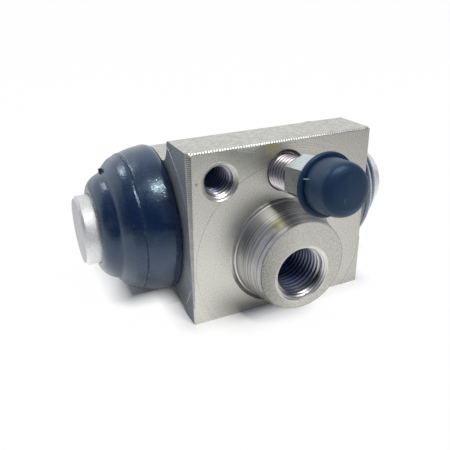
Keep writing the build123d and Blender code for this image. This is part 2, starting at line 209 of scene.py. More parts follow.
class Bench:
    """Lays nodes out in one tree; an input takes a plain value or another node's output."""

    def __init__(self, tree):
        self.tree = tree

    def join(self, socket, value):
        if isinstance(value, bpy.types.NodeSocket):
            self.tree.links.new(value, socket)
        elif value is not None:
            socket.default_value = value

    def put(self, kind, *values, settings=None, **named):
        made = self.tree.nodes.new(f"ShaderNode{kind}")
        for key, value in (settings or {}).items():
            setattr(made, key, value)
        for place, value in enumerate(values):
            self.join(made.inputs[place], value)
        for key, value in named.items():
            self.join(made.inputs[key.replace("_", " ")], value)
        return made

    def sum(self, operation, *values):
        return self.put("Math", *values, settings={"operation": operation}).outputs[0]

    def times(self, first, *others):
        for other in others:
            first = self.sum("MULTIPLY", first, other)
        return first

    def less(self, first, second):
        return self.sum("SUBTRACT", first, second)

    def rest(self, share):
        """What a share leaves of 1."""
        return self.sum("SUBTRACT", 1.0, share)

    def centred(self, value):
        """Moves a value between 0 and 1 down, to lie round 0."""
        return self.sum("SUBTRACT", value, 0.5)

    def size(self, value):
        return self.sum("ABSOLUTE", value)

    def larger(self, first, second):
        return self.sum("MAXIMUM", first, second)

    def below(self, value, limit):
        return self.sum("LESS_THAN", value, limit)

    def add(self, total, *terms):
        """Adds to a total the product of each pair of values."""
        for share, amount in terms:
            total = self.sum("MULTIPLY_ADD", share, amount, total)
        return total

    def step(self, value, low, high):
        """0 at low and 1 at high with a soft passage between them."""
        return self.put(
            "MapRange", value, low, high, 0.0, 1.0, settings={"interpolation_type": "SMOOTHSTEP"},
        ).outputs[0]

    def spread(self, value, low, high, first, second):
        """The value first at low and second at high, with an even passage between them."""
        return self.put("MapRange", value, low, high, first, second).outputs[0]

    def between(self, share, first, second):
        """A number between two others, by a share from 0 to 1."""
        made = self.put("Mix", share, settings={"data_type": "FLOAT"})
        self.join(made.inputs[2], first)
        self.join(made.inputs[3], second)
        return made.outputs[0]

    def mix(self, share, first, second):
        """A colour between two others, by a share from 0 to 1."""
        made = self.put("Mix", share, settings={"data_type": "RGBA", "blend_type": "MIX"})
        self.join(made.inputs[6], first)
        self.join(made.inputs[7], second)
        return made.outputs[2]

    def vector_sum(self, operation, *values):
        made = self.put("VectorMath", *values, settings={"operation": operation})
        return made.outputs["Value" if operation == "LENGTH" else "Vector"]

    def scaled(self, vector, factor):
        shown = self.vector_sum("SCALE", vector)
        self.join(shown.node.inputs["Scale"], factor)
        return shown

    def parts(self, vector):
        return self.put("SeparateXYZ", vector).outputs[:3]

    def point(self, x, y, z):
        return self.put("CombineXYZ", x, y, z).outputs[0]

    def length(self, x, y, z):
        return self.vector_sum("LENGTH", self.point(x, y, z))

    def distance(self, place, centre):
        return self.vector_sum("LENGTH", self.vector_sum("SUBTRACT", place, centre))

    def spot(self, place, centre, inner, outer):
        """1 within so many millimetres of a centre and 0 beyond so many."""
        return self.rest(self.step(self.distance(place, centre), inner, outer))

    def noise(self, vector, scale, detail=2.0, roughness=0.5, distortion=0.0):
        return self.put(
            "TexNoise", Vector=vector, Scale=scale, Detail=detail, Roughness=roughness,
            Distortion=distortion,
        ).outputs[0]

    def effect(self, group, **values):
        made = self.tree.nodes.new("ShaderNodeGroup")
        made.node_tree = group
        for key, value in values.items():
            self.join(made.inputs[key.replace("_", " ")], value)
        return made.outputs


def new_effect(name, wants, gives):
    group = bpy.data.node_groups.new(name, "ShaderNodeTree")
    for label, value in wants:
        kind = "NodeSocketVector" if isinstance(value, tuple) else "NodeSocketFloat"
        group.interface.new_socket(label, in_out="INPUT", socket_type=kind).default_value = value
    for label in gives:
        group.interface.new_socket(label, in_out="OUTPUT", socket_type="NodeSocketFloat")
    bench = Bench(group)
    entry = group.nodes.new("NodeGroupInput").outputs
    leave = group.nodes.new("NodeGroupOutput").inputs
    return group, bench, entry, leave


def make_grain():
    """Fine even grain with a little larger blotching under it."""
    group, bench, entry, leave = new_effect(
        "metal grain", (("Place", (0.0, 0.0, 0.0)), ("Fineness", 5.0), ("Blotch", 0.35)),
        ("Grain", "Blotches"),
    )
    fine = bench.noise(entry["Place"], entry["Fineness"], 3.0, 0.65)
    large = bench.noise(entry["Place"], entry["Blotch"], 3.0, 0.6)
    bench.join(leave["Grain"], bench.spread(fine, 0.25, 0.75, 0.0, 1.0))
    bench.join(leave["Blotches"], bench.step(large, 0.3, 0.7))
    return group


def make_tool_lines():
    """Lines that a cutting tool leaves: Across counts millimetres over them, Along runs beside them."""
    group, bench, entry, leave = new_effect(
        "tool lines", (("Across", 0.0), ("Along", (0.0, 0.0, 0.0)), ("Pitch", 0.4), ("Unevenness", 0.6)),
        ("Lines", "Streaks"),
    )
    count = bench.sum("DIVIDE", entry["Across"], entry["Pitch"])
    drift = bench.noise(entry["Along"], 0.35, 1.0)
    count = bench.sum("ADD", count, bench.times(drift, 0.8))
    regular = bench.sum("ADD", bench.times(bench.sum("SINE", bench.times(count, 2 * pi)), 0.5), 0.5)
    along = bench.vector_sum("MULTIPLY", entry["Along"], (0.18, 0.18, 0.18))
    shift = bench.point(bench.times(count, 1.7), 0.0, 0.0)
    torn = bench.noise(bench.vector_sum("ADD", along, shift), 1.0, 3.0, 0.7)
    torn = bench.spread(torn, 0.3, 0.7, 0.0, 1.0)
    bench.join(leave["Lines"], bench.between(entry["Unevenness"], regular, torn))
    bench.join(leave["Streaks"], torn)
    return group


def make_specks():
    """Scattered specks: dust on rubber, pits and nicks in metal."""
    group, bench, entry, leave = new_effect(
        "specks", (("Place", (0.0, 0.0, 0.0)), ("Spacing", 1.0), ("Size", 0.08), ("Share", 0.5)),
        ("Specks",),
    )
    scale = bench.sum("DIVIDE", 1.0, entry["Spacing"])
    cells = bench.put("TexVoronoi", Vector=entry["Place"], Scale=scale)
    chance = bench.parts(cells.outputs["Color"])
    reach = bench.times(cells.outputs["Distance"], entry["Spacing"])
    grown = bench.times(entry["Size"], bench.sum("ADD", chance[1], 0.4))
    near = bench.rest(bench.step(bench.sum("DIVIDE", reach, grown), 0.6, 1.1))
    bench.join(leave["Specks"], bench.times(near, bench.below(chance[0], entry["Share"])))
    return group


GRAIN = make_grain()
TOOL_LINES = make_tool_lines()
SPECKS = make_specks()


def new_finish(name, metallic, roughness, **sockets):
    """A new material; gives it back with a bench, its surface, the place in mm and the normal."""
    material = bpy.data.materials.new(name)
    material.use_nodes = True
    bench = Bench(material.node_tree)
    surface = material.node_tree.nodes["Principled BSDF"]
    surface.inputs["Metallic"].default_value = metallic
    surface.inputs["Roughness"].default_value = roughness
    for socket, value in sockets.items():
        surface.inputs[socket.replace("_", " ")].default_value = value
    places = bench.put("TexCoord").outputs
    return material, bench, surface, bench.scaled(places["Object"], 1 / MM), places["Normal"]


def dress(bench, surface, colour, roughness=None):
    """Joins a finish's colour and roughness to its surface."""
    bench.join(surface.inputs["Base Color"], colour)
    bench.join(surface.inputs["Roughness"], roughness)


def relief(bench, surface, depth, height):
    """Feeds a height of so many millimetres into the surface's normal."""
    bump = bench.put("Bump", Strength=1.0, Distance=depth * MM, Height=height)
    bench.join(surface.inputs["Normal"], bump.outputs[0])


def ring_place(bench, place, centre, flat):
    """Distance from an axis through centre, and a vector that turns with the angle round it."""
    from_centre = bench.vector_sum("SUBTRACT", place, centre)
    flattened = bench.vector_sum("MULTIPLY", from_centre, flat)
    radius = bench.vector_sum("LENGTH", flattened)
    along = bench.vector_sum("NORMALIZE", flattened)
    return radius, bench.vector_sum("MULTIPLY", along, (14.0, 14.0, 14.0))


def crest_share(bench, place, axis, dark, light):
    """0 in the roots of a thread and 1 on its crests, by the distance from the thread's axis."""
    from_axis = bench.vector_sum("SUBTRACT", place, tuple(axis.origin))
    radius = bench.vector_sum("LENGTH", bench.vector_sum("CROSS_PRODUCT", from_axis, tuple(axis.along)))
    return bench.step(radius, dark, light)


ALLOY, STAINED_ALLOY = (0.585, 0.578, 0.53, 1), (0.68, 0.65, 0.42, 1)
# Painted reflection: the end faces' colour is tinted blue-grey like the boots that they face; the dark blue
# beside it is painted shade deep in the holes.
END_ALLOY_AND_BOOT_REFLECTION, HOLE_SHADE_ALLOY = (0.53, 0.57, 0.62, 1), (0.11, 0.20, 0.52, 1)
TURNED_ALLOY, STAINED_TURNED_ALLOY = (0.50, 0.50, 0.505, 1), (0.31, 0.30, 0.215, 1)
# Painted shade: the colours for deep in the holes and for the roots of their threads.
DEEP_HOLE_SHADE, ROOT_SHADE, DEEP_ROOT_SHADE = (0.15, 0.18, 0.31, 1), (0.24, 0.23, 0.265, 1), (0.04, 0.09, 0.30, 1)
PISTON_ALLOY = (0.85, 0.853, 0.857)
# A pale grey for dust, also used for a painted highlight on the boots.
DUST_AND_GLINT = (0.42, 0.45, 0.48, 1)


def make_housing_finish():
    """Milled and turned light alloy: each face has the tone and the tool lines of its own cut."""
    material, bench, surface, place, facing = new_finish("housing alloy", 1.0, 0.36)
    x, y, z = bench.parts(place)
    nx, ny, nz = bench.parts(facing)
    front = bench.step(ny, -0.9, -0.99)
    top = bench.step(bench.size(nz), 0.9, 0.99)
    ends = bench.step(bench.size(nx), 0.9, 0.99)
    radius, round_spigot = ring_place(bench, place, FACING_CENTRE, (1, 0, 1))
    bore_radius, round_bore = ring_place(bench, place, (0, BORE_Y, BORE_Z), (0, 1, 1))
    grain = bench.effect(GRAIN, Place=place, Fineness=3.4, Blotch=0.22)
    coarse = bench.effect(TOOL_LINES, Across=radius, Along=round_spigot, Pitch=0.46, Unevenness=0.6)
    fine = bench.effect(TOOL_LINES, Across=radius, Along=round_spigot, Pitch=0.2, Unevenness=0.85)
    end_lines = bench.effect(TOOL_LINES, Across=bore_radius, Along=round_bore, Pitch=0.3, Unevenness=0.8)
    across, along = bench.sum("ADD", y, z), bench.point(bench.times(x, 0.8), y, z)
    drawn = bench.effect(TOOL_LINES, Across=across, Along=along, Pitch=0.55, Unevenness=1.0)
    scratch = bench.noise(bench.point(bench.times(x, 0.6), bench.times(y, 1.1), z), 1.7, 4.0, 0.8, 0.5)
    pits = bench.effect(SPECKS, Place=place, Spacing=1.4, Size=0.09, Share=0.16)["Specks"]

    # Where the facing cut, a pit, a stain, the recess round the spigot and its face lie
    outside = bench.step(radius, FACING_CIRCLE - 0.1, FACING_CIRCLE + 0.1)
    circle = bench.rest(bench.step(bench.size(bench.less(radius, FACING_CIRCLE)), 0.03, 0.14))
    circle = bench.times(circle, bench.times(front, 0.7))
    pit = bench.spot(place, PIT, 0.12, 0.34)
    stain = bench.times(bench.spot(place, PLATE_STAIN, 0.4, 2.2), front)
    recess = bench.times(bench.step(y, 0.3, 0.45), bench.times(front, bench.below(radius, RECESS_RADIUS)))
    # Painted shade in the lower part of the recess round the spigot.
    low_recess_shade = bench.times(recess, bench.step(z, 0.5, -5.0))
    spigot_end = bench.times(bench.step(y, -6.5, -7.0), front)
    rim = bench.step(bench.length(x, 0.0, z), SPIGOT_FACE - 0.2, SPIGOT_FACE - 0.06)

    patchy = bench.spread(bench.noise(place, 0.12, 2.0), 0.35, 0.65, 0.35, 1.0)
    outer_lines = bench.add(0.5, (bench.centred(coarse["Lines"]), patchy))
    front_lines = bench.between(outside, bench.spread(fine["Lines"], 0, 1, 0.4, 0.6), outer_lines)
    front_tone = bench.times(bench.centred(front_lines), front)
    end_tone = bench.times(bench.centred(end_lines["Lines"]), ends)
    top_tone = bench.times(bench.centred(bench.spread(scratch, 0.38, 0.62, 0, 1)), top)

    tone = bench.add(
        1.0,
        (bench.centred(grain["Grain"]), 0.52),
        (bench.centred(grain["Blotches"]), 0.06),
        (front_tone, 0.4),
        (top_tone, 0.36),
        (end_tone, 0.12),
        (bench.times(outside, front), -0.02),
        # Painted light and shade: the front is lighter higher up and towards the left, and darker towards
        # the right.
        (front, bench.spread(z, -12, 8, 0.02, 0.18)),
        (front, bench.spread(x, -18, 18, 0.13, -0.16)),
        # Painted shade low in the recess round the spigot, and painted light higher in it.
        (low_recess_shade, -1.3),
        (recess, bench.spread(z, -2, 6, 0.5, 0.95)),
        (spigot_end, bench.spread(x, -8.5, -1.0, -0.68, -0.15)),
        (bench.times(spigot_end, rim), -0.3),
        # Painted shade and reflection of the boots: the end faces are darker towards the top, and darker
        # again low down.
        (ends, bench.spread(z, 0, 12, -0.22, -0.42)),
        (bench.times(ends, bench.step(z, -2, -9)), -0.3),
        (circle, bench.spread(grain["Blotches"], 0, 1, -0.12, -0.3)),
        (pit, -0.6),
        (pits, -0.16),
    )
    # The end faces take their blue-grey painted reflection of the boots.
    metal = bench.mix(ends, bench.mix(stain, ALLOY, STAINED_ALLOY), END_ALLOY_AND_BOOT_REFLECTION)
    # Painted shade and dark reflection: the walls deep inside the fixing hole and the port are dark blue.
    from_fixing = bench.length(bench.less(x, FIXING_X), 0.0, bench.less(z, FIXING_Z))
    from_port = bench.length(x, 0.0, bench.less(z, PORT_Z))
    hole_shade = bench.larger(
        bench.times(bench.below(from_fixing, FIXING_RADIUS + 0.1), bench.step(y, 0.4, 2.2)),
        bench.times(bench.below(from_port, PORT_RADIUS + 0.1), bench.step(y, -6.9, -4.6)),
    )
    metal = bench.mix(bench.times(hole_shade, bench.below(y, 10.0)), metal, HOLE_SHADE_ALLOY)
    roughness = bench.add(0.40, (grain["Blotches"], 0.05), (ends, 0.22), (front_tone, 0.12))
    dress(bench, surface, bench.scaled(metal, tone), roughness)

    elsewhere = bench.times(drawn["Streaks"], bench.rest(bench.larger(front, ends)))
    height = bench.add(
        bench.times(grain["Grain"], 0.3),
        (front_tone, 0.7), (end_tone, 0.45), (elsewhere, 0.5), (top_tone, 0.5), (circle, -1.6),
    )
    relief(bench, surface, 0.011, height)
    return material


def make_cut_finish(name, colour, dark, roughness, unshaded_to, shade_from, crests=None):
    """Bright cut metal in a hole, with painted shade in the roots of its thread and a dark blue painted
    shade deeper in the hole.
    """
    material, bench, surface, place = new_finish(name, 1.0, roughness)[:4]
    grain = bench.effect(GRAIN, Place=place, Fineness=6.0, Blotch=0.5)
    depth = bench.step(bench.parts(place)[1], unshaded_to, shade_from)
    shown = bench.mix(bench.times(grain["Blotches"], 0.45), (*colour, 1), (*dark, 1))
    # Painted shade: deeper in the hole the metal turns dark blue.
    shown = bench.mix(bench.times(depth, 0.62 if crests else 0.85), shown, DEEP_HOLE_SHADE)
    if crests:
        # Painted shade in the roots of the thread, darker deeper in.
        root = bench.mix(depth, ROOT_SHADE, DEEP_ROOT_SHADE)
        shown = bench.mix(crest_share(bench, place, *crests), root, shown)
        bench.join(surface.inputs["Metallic"], bench.spread(depth, 0, 1, 1.0, 0.35))
    dress(bench, surface, shown, bench.spread(grain["Grain"], 0, 1, roughness - 0.05, roughness + 0.07))
    relief(bench, surface, 0.006, grain["Grain"])
    return material


def make_marks_finish(name, colour, roughness, across, start, pitch, gap, shade, fade):
    """Bright tool marks in a row, with painted shade in a gap after each; fade is (from, to, tone that is
    left).
    """
    material, bench, surface, place = new_finish(name, 1.0, roughness)[:4]
    along = bench.parts(place)[across]
    phase = bench.sum("FRACT", bench.sum("DIVIDE", bench.less(along, start), pitch))
    edge = bench.times(bench.size(bench.centred(phase)), 2.0)
    # Painted shade in the hollow between each mark and the next.
    gaps = bench.times(bench.step(edge, 1.0 - gap * 1.5, 1.0 - gap * 0.5), shade)
    grain = bench.effect(GRAIN, Place=place, Fineness=3.0, Blotch=0.8)
    tone = bench.times(bench.rest(gaps), bench.spread(along, fade[0], fade[1], 1.0, fade[2]))
    tone = bench.add(tone, (bench.centred(grain["Blotches"]), 0.16))
    dress(bench, surface, bench.scaled(colour, tone))
    return material


def make_spigot_finish():
    """Turned metal: smooth at the foot, torn by the tool towards the face, with painted shade under the cap
    and painted light on its smooth band, top and bottom.
    """
    material, bench, surface, place = new_finish("turned spigot", 1.0, 0.27)[:4]
    x, y, z = bench.parts(place)
    around = ring_place(bench, place, (0, 0, 0), (1, 0, 1))[1]
    slow = bench.vector_sum("MULTIPLY", around, (0.12, 0.12, 0.12))
    lines = bench.effect(TOOL_LINES, Across=y, Along=slow, Pitch=0.5, Unevenness=0.95)
    grain = bench.effect(GRAIN, Place=place, Fineness=5.0, Blotch=0.4)
    metal = bench.mix(bench.spot(place, SPIGOT_STAIN, 0.6, 2.6), TURNED_ALLOY, STAINED_TURNED_ALLOY)
    # The torn grooves start nearer to the foot at the top of the spigot
    torn_place = bench.less(y, bench.spread(z, 1.0, 6.5, 0.0, 1.6))
    smooth = bench.step(torn_place, -2.6, -1.9)
    torn = bench.step(torn_place, -1.9, -2.6)
    streaks = bench.centred(bench.step(lines["Streaks"], 0.25, 0.75))
    # Painted shade on the upper right of the spigot, under the cap.
    shade_under_cap = bench.times(
        bench.step(bench.sum("ADD", z, bench.times(x, -0.4)), 7.0, 9.5), bench.step(x, -4.5, -1.5),
    )
    tone = bench.add(
        1.0,
        (bench.times(streaks, bench.spread(torn, 0, 1, 0.15, 1)), 0.6),
        (bench.centred(grain["Grain"]), 0.12),
        # Painted shade under the cap.
        (shade_under_cap, -0.5),
        # The smooth band is lighter, partly as its own finish and partly as painted light; painted light on
        # the spigot's top and bottom.
        (smooth, bench.spread(z, 2.0, 7.0, 0.38, 0.15)),
        (bench.step(bench.size(bench.sum("ADD", z, 1.0)), 3.0, 7.5), 0.4),
    )
    dress(bench, surface, bench.scaled(metal, tone), bench.spread(lines["Streaks"], 0, 1, 0.3, 0.42))
    relief(bench, surface, 0.014, lines["Lines"])
    return material


def make_piston_finish():
    """Turned light alloy, darker on its flat end, with painted light where it faces down and painted shade
    where it faces up.
    """
    material, bench, surface, place, facing = new_finish("turned piston", 1.0, 0.3)
    radius, around = ring_place(bench, place, (0, BORE_Y, BORE_Z), (0, 1, 1))
    end = bench.step(bench.size(bench.parts(facing)[0]), 0.8, 0.95)
    x = bench.parts(place)[0]
    along = bench.effect(TOOL_LINES, Across=x, Along=around, Pitch=0.17, Unevenness=0.8)
    face = bench.effect(TOOL_LINES, Across=radius, Along=around, Pitch=0.24, Unevenness=0.7)
    grain = bench.effect(GRAIN, Place=place, Fineness=3.0, Blotch=0.3)
    lines = bench.between(end, along["Lines"], face["Lines"])
    tone = bench.add(
        1.0, (bench.centred(grain["Blotches"]), 0.12), (bench.centred(lines), 0.1),
        (bench.centred(grain["Grain"]), 0.3), (end, -0.26),
    )
    # Painted light and shade: lighter where the piston faces down, darker where it faces up.
    tone = bench.sum("ADD", bench.spread(bench.parts(facing)[2], -0.7, 0.7, 0.2, -0.14), tone)
    polish = bench.spread(grain["Blotches"], 0, 1, 0.56, 0.66)
    dress(bench, surface, bench.scaled(PISTON_ALLOY, tone), polish)
    relief(bench, surface, 0.014, bench.add(lines, (grain["Grain"], 1.2)))
    return material


def make_steel_finish(name, colour, tint, roughness, fineness, crests=None):
    """Plated steel with a faint uneven tint in its passivated skin, and painted light and shade by the way
    that it faces.
    """
    material, bench, surface, place, facing = new_finish(name, 1.0, roughness)
    grain = bench.effect(GRAIN, Place=place, Fineness=fineness, Blotch=0.55)
    metal = bench.mix(grain["Blotches"], (*colour, 1), (*tint, 1))
    tone = bench.add(1.0, (bench.centred(grain["Grain"]), 0.14))
    upward = bench.parts(facing)[2]
    # Painted shade and light: a thread is darker in its roots and where it faces up, and lighter where it
    # faces down; other steel is a little darker where it faces up.
    if crests:
        tone = bench.times(tone, bench.spread(crest_share(bench, place, *crests), 0.0, 1.0, 0.25, 1.15))
        tone = bench.times(tone, bench.spread(upward, 0.1, 0.9, 1.55, 0.12))
    else:
        tone = bench.times(tone, bench.spread(upward, 0.2, 0.8, 1.15, 1.08))
    polish = bench.spread(grain["Grain"], 0, 1, roughness - 0.04, roughness + 0.06)
    dress(bench, surface, bench.scaled(metal, tone), polish)
    relief(bench, surface, 0.004, grain["Grain"])
    return material


def make_rubber(name, colour, bloom, roughness, shine, dusty, parting=None, mark=None, glaze=0.0):
    """Moulded rubber: fine pebbling, a greyish bloom and light dust, thicker along the parting line, with a
    painted highlight on a thin line beside the parting line.
    """
    material, bench, surface, place = new_finish(
        name, 0.0, roughness,
        Specular_IOR_Level=shine, Specular_Tint=(0.55, 0.8, 1.0, 1), Coat_Weight=glaze,
        Sheen_Weight=glaze * 0.3, Sheen_Tint=(0.6, 0.82, 1.0, 1),
    )[:4]
    x, z = bench.parts(place)[::2]
    pebble = bench.noise(place, 2.2, 2.0, 0.5)
    cloud = bench.step(bench.noise(place, 0.16, 4.0, 0.6, 0.6), 0.35, 0.75)
    dust = bench.effect(SPECKS, Place=place, Spacing=0.62, Size=0.055, Share=0.1 * dusty)["Specks"]
    motes = bench.effect(SPECKS, Place=place, Spacing=2.3, Size=0.11, Share=0.3 * dusty)["Specks"]
    light = bench.larger(bench.times(dust, 0.35), bench.times(motes, 0.6))
    rough = bench.add(roughness - 0.03, (cloud, 0.07), (bench.centred(pebble), 0.2))
    if parting:
        offset = bench.size(bench.less(bench.size(x), parting))
        near = bench.rest(bench.step(offset, 0.05, 0.3))
        flecks = bench.effect(SPECKS, Place=place, Spacing=0.5, Size=0.13, Share=0.3)["Specks"]
        light = bench.larger(light, bench.times(near, flecks, 0.8))
        # Painted highlight: a pale line beside the parting line, where its raised edge catches the light.
        second = bench.rest(bench.step(bench.size(bench.sum("ADD", x, parting - 0.5)), 0.03, 0.16))
        second = bench.times(second, bench.step(z, 14.3, 16.8))
        light = bench.larger(light, bench.times(second, bench.spread(pebble, 0.35, 0.65, 0.02, 0.4)))
        torn = bench.step(bench.noise(place, 4.0, 2.0), 0.42, 0.56)
        rough = bench.add(rough, (bench.times(bench.step(offset, 0.3, 0.14), torn), 0.35))
    if mark:
        ring = bench.size(bench.less(bench.distance(place, mark), 0.4))
        ring = bench.rest(bench.step(ring, 0.0, 0.2))
        worn = bench.step(bench.noise(place, 1.4, 1.0), 0.42, 0.62)
        light = bench.larger(light, bench.times(ring, worn, 0.09))
    # Dust and the painted highlight take the pale grey.
    tone = bench.mix(light, bench.mix(cloud, (*colour, 1), (*bloom, 1)), DUST_AND_GLINT)
    dress(bench, surface, tone, rough)
    relief(bench, surface, 0.025, bench.add(pebble, (light, 0.8)))
    if glaze:
        surface.inputs["Coat Roughness"].default_value = 0.09
        beaded = bench.put("Bump", Strength=1.0, Distance=0.07 * MM, Height=bench.noise(place, 2.8, 0.5))
        bench.join(surface.inputs["Coat Normal"], beaded.outputs[0])
    return material


HOUSING = make_housing_finish()
SPIGOT_SKIN = make_spigot_finish()
PISTON = make_piston_finish()
PORT_THREAD = make_cut_finish(
    "port thread", (0.62, 0.61, 0.60), (0.50, 0.49, 0.50), roughness=0.3,
    unshaded_to=-5.8, shade_from=-2.6, crests=(PORT, 4.82, 4.52),
)
FIXING_THREAD = make_cut_finish(
    "fixing thread", (0.66, 0.62, 0.62), (0.52, 0.48, 0.50), roughness=0.3,
    unshaded_to=1.1, shade_from=3.2, crests=(FIXING, 2.78, 2.5),
)
HOLE_MOUTH = make_cut_finish(
    "hole mouth", (0.78, 0.775, 0.735), (0.54, 0.535, 0.505), roughness=0.42, unshaded_to=8.0, shade_from=12.0,
)
MARKS = make_marks_finish(
    "cutter marks", (0.97, 0.96, 0.92), roughness=0.5, across=0, start=BEAD_START, pitch=BEAD_PITCH,
    gap=0.4, shade=0.75, fade=(0, 14, 0.55),
)
CORNER_MARKS = make_marks_finish(
    "corner marks", (0.52, 0.52, 0.51), roughness=0.45, across=2, start=0.0, pitch=TICK_PITCH,
    gap=0.3, shade=0.5, fade=(20, -9, 0.92),
)
BURR = make_marks_finish(
    "cut burr", (0.80, 0.80, 0.80), roughness=0.5, across=2, start=0.0, pitch=1.7,
    gap=0.1, shade=0.3, fade=(20, -9, 0.8),
)
STEEL = make_steel_finish(
    "plated steel", (0.57, 0.62, 0.62), (0.50, 0.545, 0.545), roughness=0.26, fineness=5.0,
)
SCREW_THREAD = make_steel_finish(
    "plated thread", (0.66, 0.62, 0.64), (0.54, 0.495, 0.525), roughness=0.36, fineness=4.0,
    crests=(BLEED, 3.05, 3.32),
)
SPRING = make_steel_finish(
    "spring steel", (0.42, 0.42, 0.43), (0.34, 0.34, 0.36), roughness=0.35, fineness=4.0,
)
BOOT = make_rubber(
    "boot rubber", (0.004, 0.014, 0.050), (0.024, 0.041, 0.082), roughness=0.28, shine=0.75, dusty=1.0,
    parting=PARTING, glaze=0.36,
)
CAP = make_rubber(
    "cap rubber", (0.009, 0.028, 0.070), (0.020, 0.037, 0.072), roughness=0.44, shine=0.46, dusty=0.2,
    mark=tuple(BLEED.at(CAP_MOUTH + CAP_LENGTH, 1.55, radians(254)) / MM),
)
FLASH = make_rubber(
    "pale flash", (0.36, 0.39, 0.42), (0.3, 0.33, 0.36), roughness=0.5, shine=0.5, dusty=0.0,
)
CUP = make_rubber(
    "cup rubber", (0.012, 0.012, 0.013), (0.02, 0.02, 0.021), roughness=0.5, shine=0.5, dusty=0.1,
)

for node, material in (
    ("housing", HOUSING), ("piston_left", PISTON), ("piston_right", PISTON),
    ("cup_seal_left", CUP), ("cup_seal_right", CUP),
    ("cup_expander_left", STEEL), ("cup_expander_right", STEEL),
):
    cad_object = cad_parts[node]
    cad_object.data.materials.clear()
    cad_object.data.materials.append(material)

# Boots over the pistons, the right one set in with its piston
SEAT_RADIUS, LOCK_RADIUS, BOOT_BORE, LIP_RADIUS = 12.25, 12.85, 10.95, 5.98
SEAT_BOTTOM, LOCK_LOW, LOCK_HIGH = END_FACE - 3.35, END_FACE - 2.2, END_FACE - 0.9
BOOT_OUTSIDE = (
    (SEAT_BOTTOM, SEAT_RADIUS), (LOCK_LOW, SEAT_RADIUS), (LOCK_LOW, LOCK_RADIUS), (LOCK_HIGH, LOCK_RADIUS),
    (LOCK_HIGH, SEAT_RADIUS), (END_FACE, SEAT_RADIUS), (END_FACE, 14.2), (END_FACE + 0.25, 14.5),
    (END_FACE + 0.6, 14.72), (END_FACE + 1.05, 14.84), (END_FACE + 1.6, 14.84), (20.6, 14.74),
    (21.4, 14.62), (22.2, 14.48), (23.0, 14.28), (23.8, 14.03), (24.3, 13.86), (24.55, 13.8),
    (24.66, 13.77), (24.72, 13.7), (24.77, 13.56), (24.83, 13.56), (24.88, 13.64), (24.96, 13.68),
    (25.4, 13.52), (26.0, 13.25), (26.5, 13.02), (26.7, 12.9), (26.9, 12.74), (27.3, 12.36), (27.7, 11.95),
    (28.1, 11.53), (28.35, 11.2), (28.52, 10.92), (28.72, 10.68), (28.95, 10.53), (29.2, 10.42),
    (29.6, 10.24), (30.1, 9.98), (30.55, 9.64), (31.0, 9.2), (31.35, 8.72), (31.62, 8.1), (31.74, 7.6),
    (31.72, 7.2), (31.6, 6.97), (31.4, 6.9), (31.1, 6.88), (31.1, LIP_RADIUS), (29.75, LIP_RADIUS),
    (29.75, 6.9),
)
BOOT_INSIDE = (
    (29.2, 7.6), (28.8, 8.6), (28.3, 9.4), (27.4, 10.6), (26.2, 11.8), (24.8, 12.5), (23.0, 13.1),
    (21.0, 13.4), (19.8, 13.3), (19.0, 12.7), (18.6, 11.6), (END_FACE, BOOT_BORE), (SEAT_BOTTOM, BOOT_BORE),
)
RIGHT_SET_IN = 1.0
PARTING_WANDER = (
    (-180, 0.0), (-124, 0.2), (-106, 0.0), (-84, 0.03), (-70, 0.24), (-59, 0.06), (-50, -0.06),
    (-36, -0.08), (-24, -0.24), (-13, 0.18), (0, 0.42), (12, 0.4), (60, 0.0), (180, 0.0),
)


def wander(turn):
    """How far the parting line strays along the boot at an angle in degrees."""
    turn = (turn + 180) % 360 - 180
    for (a, low), (b, high) in zip(PARTING_WANDER, PARTING_WANDER[1:]):
        if turn <= b:
            return low + (high - low) * (turn - a) / (b - a)
    return 0.0


def set_in(u, amount):
    """Moves a boot's point in with its piston, and leaves the rim where it is."""
    return u - amount * min(1.0, max(0.0, (u - 20.0) / 4.0))


def boot_piece(side, axis, sign, amount):
    outline = [(set_in(u, amount), r) for u, r in BOOT_OUTSIDE + BOOT_INSIDE]
    parting = set_in(PARTING, amount)
    made = bmesh.new()

    def soften(u, r, angle):
        """The unevenness of moulded rubber, and a ragged parting line that strays."""
        if u < END_FACE + 0.2 or r < 7.5:
            return 0.0, 0.0
        spot = Vector((u * 0.25, cos(angle) * 1.6, sin(angle) * 1.6 + sign))
        ragged = Vector((sign * 3, cos(angle) * 9, sin(angle) * 9))
        seam = max(0.0, 1.0 - abs(u - parting) / 0.4)
        out = 0.05 * noise.noise(spot) + 0.02 * noise.noise(spot * 3.1)
        out += 0.035 * seam * noise.noise(ragged * 1.7)
        return seam * (0.07 * noise.noise(ragged) + wander(degrees(angle))), out

    revolve(made, axis, outline, 160, True, soften)
    if side == "left":
        # The nib that the mould has left near the top
        nib = ((28.3, 10.4), (29.0, 10.2), (29.05, 11.45), (28.4, 11.6))
        skin(made, [[axis.at(u, r, radians(turn)) for u, r in nib] for turn in (6.8, 10.4)])
    piece = finished(f"boot_{side}", made, BOOT, 50)
    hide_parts(f"dust_boot_{side}")
    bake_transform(piece)


boot_piece("left", LEFT_BORE, -1, 0.0)
boot_piece("right", RIGHT_BORE, 1, RIGHT_SET_IN)

# The spring in two halves, each wound out from the middle to one expander
SPRING_REACH = 5.75


